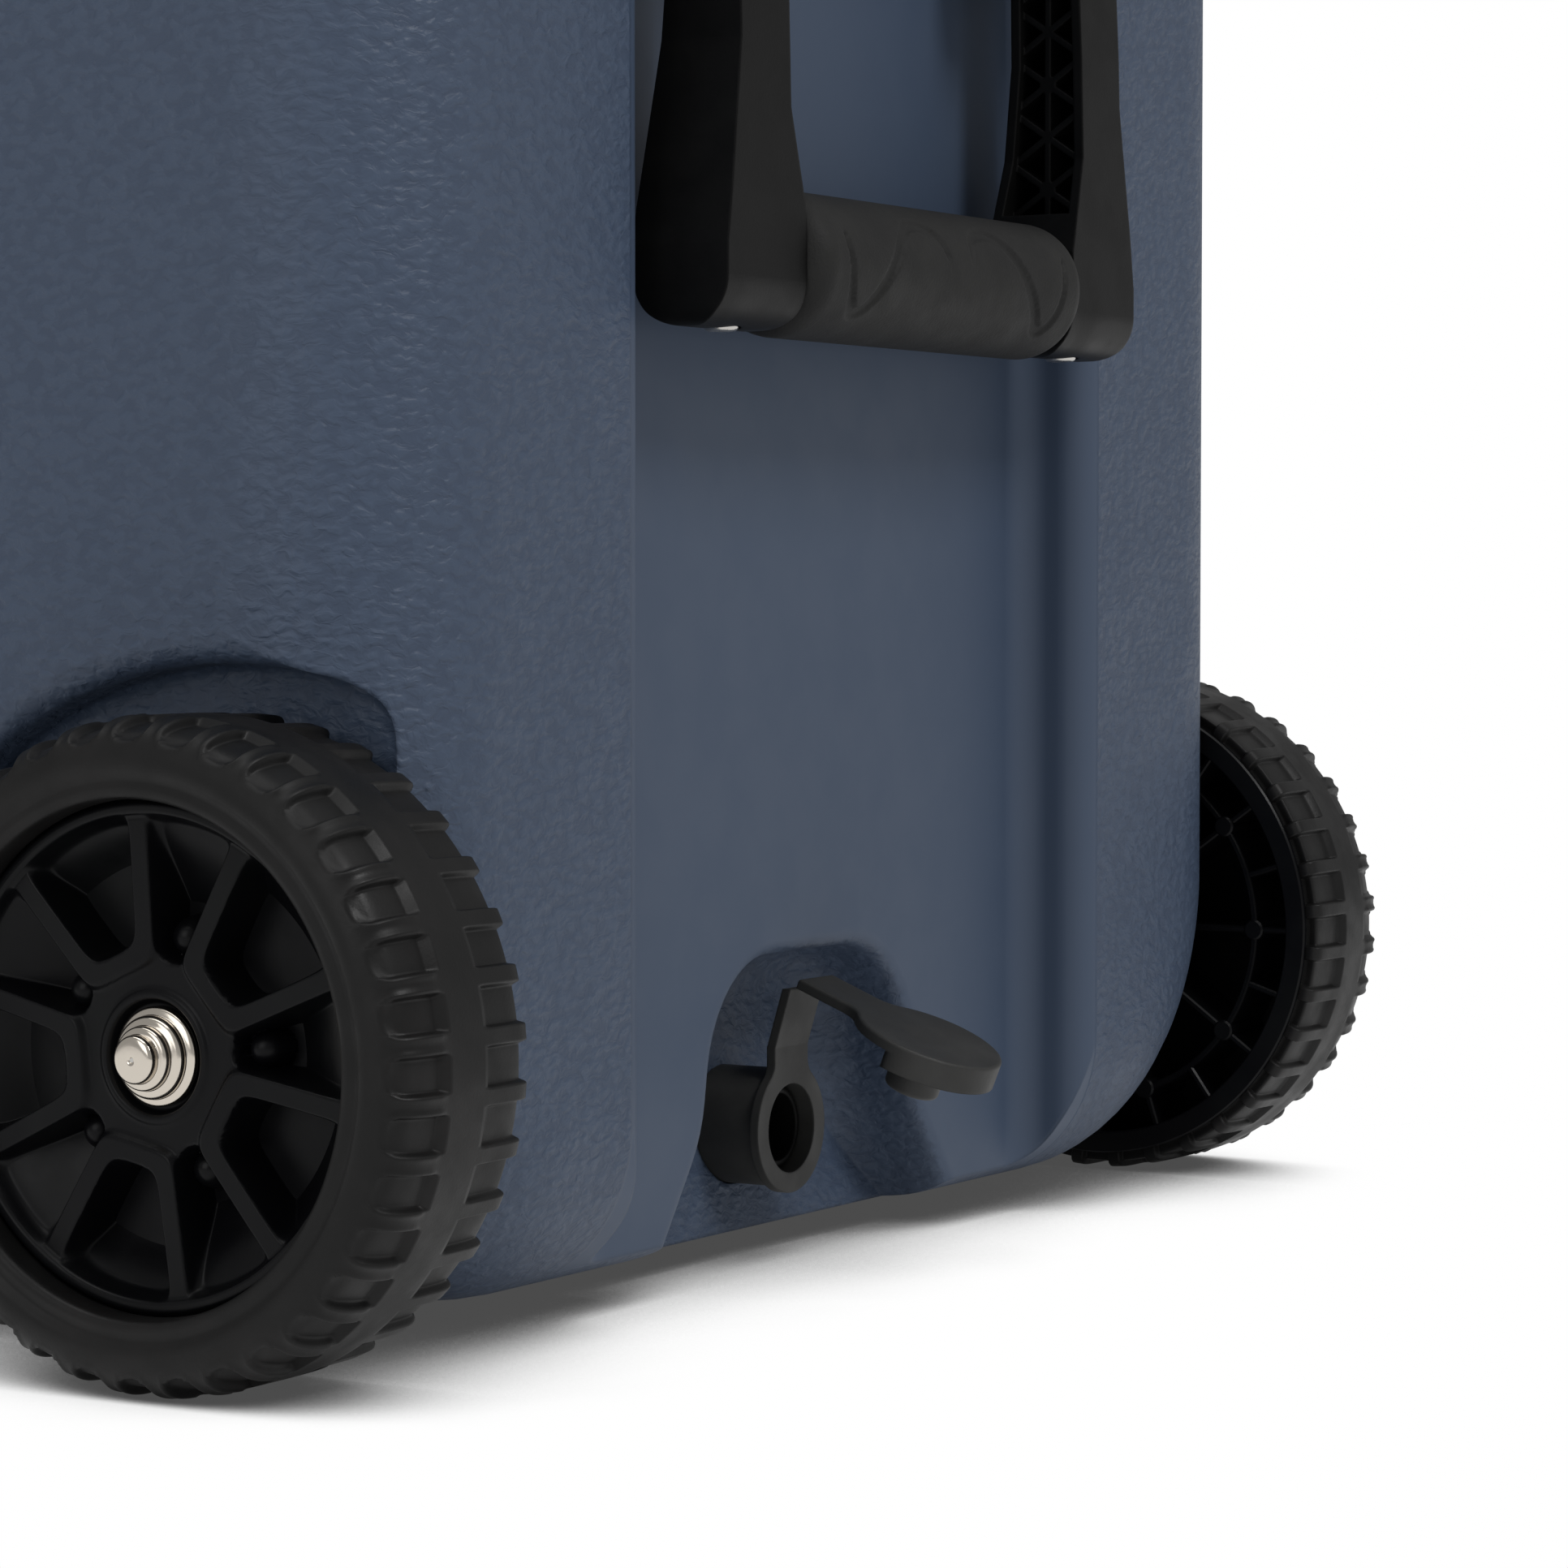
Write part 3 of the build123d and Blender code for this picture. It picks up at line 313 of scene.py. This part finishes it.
def hub(name, side):
    """Back of the wheel body, all turned round the axle: a section with sleeve, web and drum,
    a ring, and radial ribs between them. Every second rib runs in to the sleeve and has a boss
    on the ring. The front is hub_front."""
    web = HUB_FACE - 13.8
    root = web + 1
    inner, outer = RING_R
    drum = [(BORE_R, 0.0), (12.0, 0.0), (12.5, 0.5), (12.5, web), (DRUM_R, web), (DRUM_R, 0.4),
            (59.8, 0.0), (64.8, 0.0), (65.2, 0.5), (65.2, 1.5), (62.0, 1.7), (62.0, 34.0),
            (SEAT_R + 0.02, 36.6), (SEAT_R + 0.02, web + 3), (BORE_R, web + 3)]
    ring = [(inner, 3.0), (inner + 0.4, 2.5), (outer - 0.4, 2.5), (outer, 3.0), (outer, root),
            (inner, root)]
    parts = [lathe(drum, side, 144), lathe(ring, side, 144)]
    ribs = 20
    for number in range(ribs):
        long_rib = number % 2 == 0
        start = 12.0 if long_rib else 49.0
        turn = 2 * pi * number / ribs
        parts.append(radial_rib(start, 59.8, turn, 1.7, 2.8, root, side))
        if long_rib:
            parts.append(round_boss(48.7, turn, 2.9, 2.0, root, side))
    return make_piece(name, parts, MATERIAL["hub"], wheel_name(side),
                      [wheel_name(side) + "_hub"], sharp=32)


def hub_front(name, side):
    """Front relief on a polar grid, closed behind by a ring that lies inside the drum's web."""
    back = HUB_FACE - 13.4
    outer_r = SEAT_R - 0.01
    turns = np.linspace(0, 2 * pi, 1000, endpoint=False)[:, None]
    radii = np.concatenate([[BORE_R, 8.0, 10.6], np.arange(11.1, 14.6, 0.35),
                            np.arange(15.0, 52.6, 0.49), [52.75, outer_r]])[None, :]
    front = wheel_points(radii, turns, hub_front_height(radii, turns), side)
    last = wheel_points(np.array([[outer_r, BORE_R]]), turns, back, side)
    return make_piece(name, [grid(np.concatenate([front, last], 1), True, True)],
                      MATERIAL["hub"], wheel_name(side),
                      [wheel_name(side) + "_hub"], sharp=80)


def push_cap(name):
    """Plated caps on both axles: a washer, two rounded steps and the axle's tip, turned."""
    seat = HUB_FACE - CAP_SEAT
    profile = [(5.3, seat), (10.0, seat), (10.4, seat + 0.6), (10.2, seat + 1.5),
               (9.2, seat + 2.0), (8.6, seat + 2.1), (8.7, seat + 3.3), (8.1, seat + 4.2),
               (7.0, seat + 4.5), (6.7, seat + 4.7), (6.7, seat + 6.0), (6.1, seat + 6.6),
               (5.1, seat + 6.7), (5.05, seat + 7.4), (5.05, seat + 8.6), (4.2, seat + 9.3),
               (2.0, seat + 9.45), (0.02, seat + 9.5), (0.02, seat + 1.0), (5.0, seat + 0.8)]
    line = rounded(np.array(profile), 2)
    parts = [lathe(line, side, 96) for side in (-1, 1)]
    return make_piece(name, parts, MATERIAL["plated"], "base",
                      ["wheel_push_caps"], sharp=60)


# ---- grips ----------------------------------------------------------------------------------------
GRIP_R = 17.0
GRIP_END_R = 7.0         # rounding of the grip's ends
GROOVE_DEPTH = 0.7
GRID_STEP = 0.6
# knots of one groove: along the grip from its middle, and round it from the side's middle line
WAVE = np.array([(-54, 7), (-51, -8), (-45, -14), (-37, -4), (-24, 11), (-16, 12.5), (-8, 10),
                 (-6, 4)])


def grip(name, node, body):
    """Rubber sleeve turned about its own axis, with quarter circles at its ends. Its outer and
    inner sides each have two wavy grooves, mirror images of each other, that follow a rounded
    line through a few knots. The groove's width goes as the sine of the way along the line, and
    its depth steps smoothly to nothing at its edge."""
    low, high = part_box(node)
    centre = Vector(((low.x + high.x) / 2, 0, (low.z + high.z) / 2)) / MM
    half = high.y / MM
    bend = np.radians(np.linspace(0, 90, 10))
    run = np.arange(-half + GRIP_END_R + GRID_STEP, half - GRIP_END_R, GRID_STEP)
    cap_y = GRIP_END_R * (1 - np.cos(bend))
    cap_r = GRIP_R - GRIP_END_R * (1 - np.sin(bend))
    along = np.concatenate([-half + cap_y, run, half - cap_y[::-1]])
    radius = np.concatenate([cap_r, np.full(len(run), GRIP_R), cap_r[::-1]])
    spin = np.linspace(0, 2 * pi, 180, endpoint=False)
    line = rounded(WAVE, 3, closed=False)
    share = np.linspace(0, 1, len(line))
    wide = 0.4 + 1.3 * np.sin(pi * share) ** 0.7
    arc = ((spin + pi / 2) % pi - pi / 2) * GRIP_R
    nearest = np.full((len(along), len(spin)), 9.0)
    for mirror in (1, -1):
        for (y, height), w in zip(line, wide):
            away = np.hypot(along[:, None] - mirror * y, arc[None, :] - height) - w
            nearest = np.minimum(nearest, away)
    around = radius[:, None] - GROOVE_DEPTH * step(-nearest, -0.3, 0.3)
    points = np.stack([centre.x + around * np.cos(spin), along[:, None] + 0 * around,
                       centre.z + around * np.sin(spin)], -1)
    return make_piece(name, [capped(points)], MATERIAL["grip"], body,
                      [node], sharp=60)


# ---- materials ----------------------------------------------------------------------------------
class Nodes:
    """Short way to lay shader nodes in one material."""

    def __init__(self, name):
        self.material = bpy.data.materials.new(name)
        self.material.use_nodes = True
        self.tree = self.material.node_tree
        self.tree.nodes.clear()
        self.out = self.add("ShaderNodeOutputMaterial")
        self.shader = self.add("ShaderNodeBsdfPrincipled")
        self.link(self.shader.outputs[0], self.out.inputs[0])
        self.object = self.add("ShaderNodeTexCoord").outputs["Object"]

    def add(self, kind, **settings):
        node = self.tree.nodes.new(kind)
        for key, value in settings.items():
            setattr(node, key, value)
        return node

    def link(self, source, target):
        self.tree.links.new(source, target)

    def put(self, node, values):
        for key, value in values.items():
            if isinstance(value, bpy.types.NodeSocket):
                self.link(value, node.inputs[key])
            else:
                node.inputs[key].default_value = value

    def noise(self, scale, detail=4.0, rough=0.55, vector=None, distort=0.0):
        node = self.add("ShaderNodeTexNoise")
        self.put(node, {"Vector": vector or self.object, "Scale": scale, "Detail": detail,
                        "Roughness": rough, "Distortion": distort})
        return node.outputs[0]

    def cells(self, scale, feature="F1", vector=None):
        node = self.add("ShaderNodeTexVoronoi", feature=feature)
        self.put(node, {"Vector": vector or self.object, "Scale": scale})
        return node.outputs["Distance"]

    def math(self, kind, a, b=0.0):
        node = self.add("ShaderNodeMath", operation=kind)
        self.put(node, {0: a, 1: b})
        return node.outputs[0]

    def ramp(self, value, low, high, to_low=0.0, to_high=1.0):
        node = self.add("ShaderNodeMapRange", interpolation_type="SMOOTHSTEP")
        self.put(node, {"Value": value, "From Min": low, "From Max": high, "To Min": to_low,
                        "To Max": to_high})
        return node.outputs[0]

    def mix(self, factor, a, b):
        node = self.add("ShaderNodeMix", data_type="RGBA")
        self.put(node, {0: factor, 6: a, 7: b})
        return node.outputs[2]

    def bump(self, height, distance, strength=1.0, normal=None):
        node = self.add("ShaderNodeBump")
        self.put(node, {"Height": height, "Distance": distance, "Strength": strength})
        if normal:
            self.link(normal, node.inputs["Normal"])
        return node.outputs[0]

    def axis(self, letter):
        node = self.add("ShaderNodeSeparateXYZ")
        self.link(self.object, node.inputs[0])
        return node.outputs[letter]

    def soft_edges(self, radius):
        """Normal that rounds off the hard edges of a moulded solid."""
        node = self.add("ShaderNodeBevel", samples=4)
        self.put(node, {"Radius": radius})
        return node.outputs[0]


def rgb(r, g, b):
    """An sRGB colour in 0 to 255 as linear values."""
    def linear(value):
        value /= 255
        return value / 12.92 if value <= 0.04045 else ((value + 0.055) / 1.055) ** 2.4
    return (linear(r), linear(g), linear(b), 1.0)


def grained_body():
    """Blue moulded plastic with leather grain: rounded cells plus noise, stretched sideways and
    warped, as a bump, with a painted shade of darker blue in the grain's pits. The sunk end
    panels stay smooth, because the grain is multiplied by a mask that is nothing inside them."""
    m = Nodes("grained_body")
    blend = 1.2
    middle = (END_X + TOW_X) / 2 * MM
    reach = ((END_X - TOW_X) / 2 - PANEL_DEPTH) * MM
    beyond_y = m.ramp(m.math("ABSOLUTE", m.axis("Y")), (PANEL_EDGE - blend) * MM,
                      PANEL_EDGE * MM)
    short_of = m.ramp(m.math("ABSOLUTE", m.math("SUBTRACT", m.axis("X"), middle)),
                      reach - 0.0016, reach - 0.0002, 1.0, 0.0)
    above = m.ramp(m.axis("Z"), (PANEL_TOP - blend) * MM, PANEL_TOP * MM)
    grainy = m.math("MAXIMUM", m.math("MAXIMUM", beyond_y, short_of), above)
    warp = m.add("ShaderNodeVectorMath", operation="MULTIPLY_ADD")
    wander = m.add("ShaderNodeTexNoise")
    m.put(wander, {"Vector": m.object, "Scale": 190.0, "Detail": 2.0})
    m.put(warp, {0: wander.outputs["Color"], 1: (0.0030, 0.0030, 0.0030), 2: m.object})
    stretch = m.add("ShaderNodeMapping")
    m.put(stretch, {"Vector": warp.outputs[0], "Scale": (0.75, 0.75, 1.3)})
    pebbles = m.cells(390.0, "SMOOTH_F1", stretch.outputs[0])
    wrinkle = m.noise(430.0, 2.0, 0.5, stretch.outputs[0], 0.9)
    hide = m.math("ADD", m.ramp(pebbles, 0.05, 0.65, 1.0, 0.0),
                  m.math("MULTIPLY", wrinkle, 1.5))
    height = m.math("MULTIPLY", hide, grainy)
    patches = m.noise(9.0, 3.0)
    blue = m.mix(patches, rgb(53, 65, 84), rgb(58, 70, 88))
    # painted shade: the grain's low pits get a darker blue, standing in for the shade that falls in
    # them
    pit_shade = m.math("MULTIPLY", m.ramp(hide, 0.7, 1.3, 1.0, 0.0),
                  m.math("MULTIPLY", grainy, 0.30))
    blue = m.mix(pit_shade, blue, rgb(38, 48, 66))
    rough = m.ramp(m.noise(60.0, 4.0), 0.3, 0.7, 0.50, 0.58)
    m.put(m.shader, {"Base Color": blue, "Roughness": rough, "IOR": 1.47,
                     "Specular IOR Level": 0.36,
                     "Normal": m.bump(height, 0.00034, 0.85, m.soft_edges(0.0016))})
    return m.material


def dark_plastic(name, low, high, rough, grain, edge, shine):
    """Near-black plastic or rubber: a tint and a gloss that wander between two values, a fine
    texture of a given scale and depth, and edges softened by a radius in metres."""
    m = Nodes(name)
    scale, depth = grain
    base = m.mix(m.ramp(m.noise(34.0, 5.0, 0.6), 0.4, 0.7), rgb(*low), rgb(*high))
    gloss = m.ramp(m.noise(75.0, 5.0), 0.3, 0.7, *rough)
    normal = m.soft_edges(edge) if edge else None
    m.put(m.shader, {"Base Color": base, "Roughness": gloss, "IOR": 1.47,
                     "Specular IOR Level": shine,
                     "Normal": m.bump(m.noise(scale, 3.0, 0.6), depth, 0.6, normal)})
    return m.material


def metal(name, tint, low, high):
    """Bright metal whose roughness wanders between two values, with faint scratches."""
    m = Nodes(name)
    rough = m.ramp(m.noise(160.0, 6.0), 0.35, 0.7, low, high)
    scratch = m.noise(900.0, 2.0)
    m.put(m.shader, {"Base Color": tint, "Metallic": 1.0, "Roughness": rough,
                     "Normal": m.bump(scratch, 0.00001, 0.3)})
    return m.material


def liner_plastic():
    """Pale, slightly mottled plastic of the inside."""
    m = Nodes("liner_plastic")
    base = m.mix(m.noise(14.0), rgb(206, 211, 214), rgb(220, 224, 226))
    m.put(m.shader, {"Base Color": base, "Roughness": 0.42, "IOR": 1.48,
                     "Normal": m.bump(m.noise(500.0), 0.00004, 0.4)})
    return m.material


def foam():
    """Yellowish insulating foam with small open cells."""
    m = Nodes("foam")
    base = m.mix(m.noise(200.0, 5.0), rgb(206, 190, 140), rgb(226, 212, 168))
    m.put(m.shader, {"Base Color": base, "Roughness": 0.9,
                     "Normal": m.bump(m.cells(600.0), 0.0004, 0.7)})
    return m.material


MATERIAL = {
    "body": grained_body(),
    "tyre": dark_plastic("tyre_rubber", (10, 10, 10), (19, 18, 18), (0.40, 0.56),
                         (1500.0, 0.00006), 0.0, 0.22),
    "hub": dark_plastic("hub_plastic", (6, 6, 8), (9, 10, 11), (0.28, 0.40),
                        (900.0, 0.00003), 0.0, 0.13),
    "handle": dark_plastic("handle_plastic", (8, 8, 8), (12, 12, 12), (0.36, 0.48),
                           (1400.0, 0.00005), 0.0008, 0.13),
    "grip": dark_plastic("grip_rubber", (14, 14, 14), (20, 20, 19), (0.62, 0.74),
                         (1300.0, 0.00022), 0.0, 0.30),
    "drain": dark_plastic("drain_rubber", (34, 34, 33), (43, 43, 42), (0.50, 0.62),
                          (1100.0, 0.00005), 0.0007, 0.36),
    "steel": metal("steel", (0.50, 0.485, 0.46, 1), 0.18, 0.32),
    "plated": metal("plated", (0.60, 0.55, 0.48, 1), 0.12, 0.22),
    "liner": liner_plastic(), "foam": foam()}
SLOT_MATERIAL = {"body_plastic": "body", "liner_plastic": "liner", "foam": "foam",
                 "handle_plastic": "handle", "grip_rubber": "grip", "wheel_plastic": "hub",
                 "tyre_rubber": "tyre", "steel": "steel", "plated_metal": "plated",
                 "drain_rubber": "drain", "seal_rubber": "drain"}
for part in frame["record"]["subparts"]:
    node = frame["nodes"][part["node"]]
    for place in range(len(node.material_slots)):
        node.material_slots[place].material = MATERIAL[SLOT_MATERIAL[part["material_slot"]]]

# ---- pieces ----------------------------------------------------------------------------------------
for side in (-1, 1):
    tyre(wheel_name(side) + "_tread", side)
    hub(wheel_name(side) + "_ribs", side)
    hub_front(wheel_name(side) + "_front", side)
push_cap("axle_caps")
grip("end_grip", "end_handle_grip", "end_handle")
grip("tow_grip", "tow_handle_grip", "tow_handle")


# ---- stage ------------------------------------------------------------------------------------------
def floor():
    """White floor that glows as bright as its surroundings instead of being lit, with a painted shadow
    that darkens it only close under the object.
    """
    mesh = bpy.data.meshes.new("floor")
    reach = 30.0
    mesh.from_pydata([(-reach, -reach, 0), (reach, -reach, 0), (reach, reach, 0),
                      (-reach, reach, 0)], [], [(0, 1, 2, 3)])
    m = Nodes("floor_glow_painted_shadow")
    # painted light and shadow: the floor glows instead of being lit, and how open it is to the sky
    # within a short reach sets how bright it glows, so it darkens under the object with no lamp
    # casting that shadow
    floor_shadow_ao = m.add("ShaderNodeAmbientOcclusion", samples=16)
    m.put(floor_shadow_ao, {"Distance": 0.12})
    glow = m.add("ShaderNodeEmission")
    m.link(m.ramp(floor_shadow_ao.outputs["AO"], 0.12, 0.66, 0.07, 1.0), glow.inputs["Strength"])
    m.link(glow.outputs[0], m.out.inputs[0])
    mesh.materials.append(m.material)
    plane = bpy.data.objects.new("floor", mesh)
    bpy.context.scene.collection.objects.link(plane)


def area_light(name, place, target, size, power):
    """A square light of a size in metres and a power in watts that faces its target."""
    lamp = bpy.data.lights.new(name, "AREA")
    lamp.shape = "SQUARE"
    lamp.size = size
    lamp.energy = power
    holder = bpy.data.objects.new(name, lamp)
    holder.location = place
    holder.rotation_euler = (Vector(target) - Vector(place)).to_track_quat("-Z", "Y").to_euler()
    bpy.context.scene.collection.objects.link(holder)


def world_light(strength):
    """White to the camera, and a softer white as light."""
    world = bpy.data.worlds.new("studio")
    world.use_nodes = True
    tree = world.node_tree
    back = tree.nodes["Background"]
    back.inputs[0].default_value = (1, 1, 1, 1)
    seen = tree.nodes.new("ShaderNodeLightPath")
    level = tree.nodes.new("ShaderNodeMapRange")
    level.inputs["To Min"].default_value = strength
    level.inputs["To Max"].default_value = 1.0
    tree.links.new(seen.outputs["Is Camera Ray"], level.inputs["Value"])
    tree.links.new(level.outputs[0], back.inputs[1])
    bpy.context.scene.world = world


def camera():
    """Looks along azimuth 30.8 degrees, slightly down, close on the wheel end."""
    azimuth, down = radians(30.837), radians(2.55)
    eye = Vector((0.890, -0.9581, 0.1671))
    ahead = Vector((-sin(azimuth) * cos(down), cos(azimuth) * cos(down), -sin(down)))
    lens = bpy.data.cameras.new("camera")
    lens.lens, lens.sensor_width = 104.37, 36.0
    lens.clip_start = 0.02
    holder = bpy.data.objects.new("camera", lens)
    holder.location = eye
    holder.rotation_euler = ahead.to_track_quat("-Z", "Y").to_euler()
    bpy.context.scene.collection.objects.link(holder)
    bpy.context.scene.camera = holder


floor()
world_light(0.42)
box_end = (0.25, 0.0, 0.2)
area_light("overhead", (0.1, -0.3, 2.4), box_end, 2.0, 27.0)
area_light("key", (2.0, -0.15, 2.0), (0.34, 0.0, 0.22), 0.7, 29.0)
area_light("fill_left", (0.1, -2.4, 1.1), box_end, 1.5, 13.0)
camera()
bpy.context.scene.view_settings.view_transform = "Standard"
